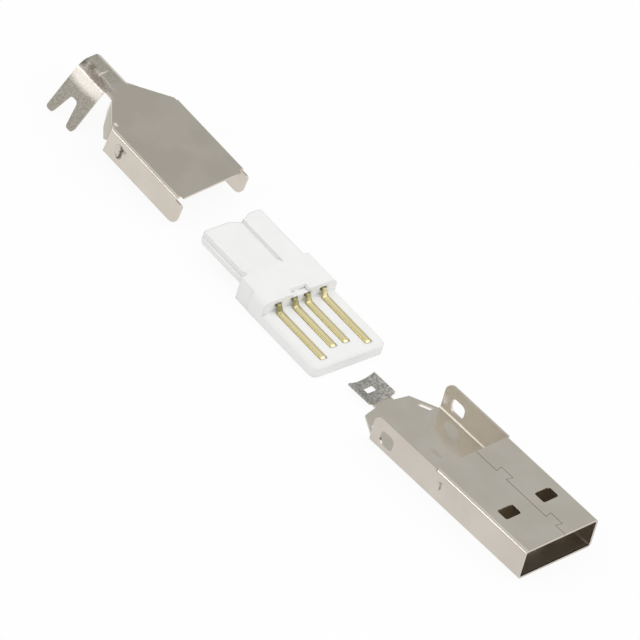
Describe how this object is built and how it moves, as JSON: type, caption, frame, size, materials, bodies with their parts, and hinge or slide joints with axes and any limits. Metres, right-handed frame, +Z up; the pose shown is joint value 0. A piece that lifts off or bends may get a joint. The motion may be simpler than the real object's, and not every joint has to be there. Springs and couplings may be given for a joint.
{
  "type": "usb-a solder plug kit",
  "caption": "Plug kit to solder on a cable: folded metal shell with an open cradle, white insulator with gold contacts, and snap-in metal cover with cable clamp",
  "frame": {"origin": "middle of the laid-out kit's bounding box, on the surface that the pieces lie on", "axes": "+X along the plug towards its mouth, +Y across it, +Z up"},
  "size_m": [0.0914, 0.0152, 0.007],
  "materials": {
    "shell_steel": "satin nickel plate on folded steel sheet",
    "cover_steel": "satin nickel plate on folded steel sheet",
    "white_moulding": "smooth white moulded plastic",
    "gold_contact": "gold flash on stamped copper alloy"
  },
  "bodies": {
    "root": {"front_shell": "shell_steel", "insulator": "white_moulding", "contact_power": "gold_contact", "contact_data_minus": "gold_contact", "contact_data_plus": "gold_contact", "contact_ground": "gold_contact", "rear_cover": "cover_steel"}
  },
  "joints": []
}
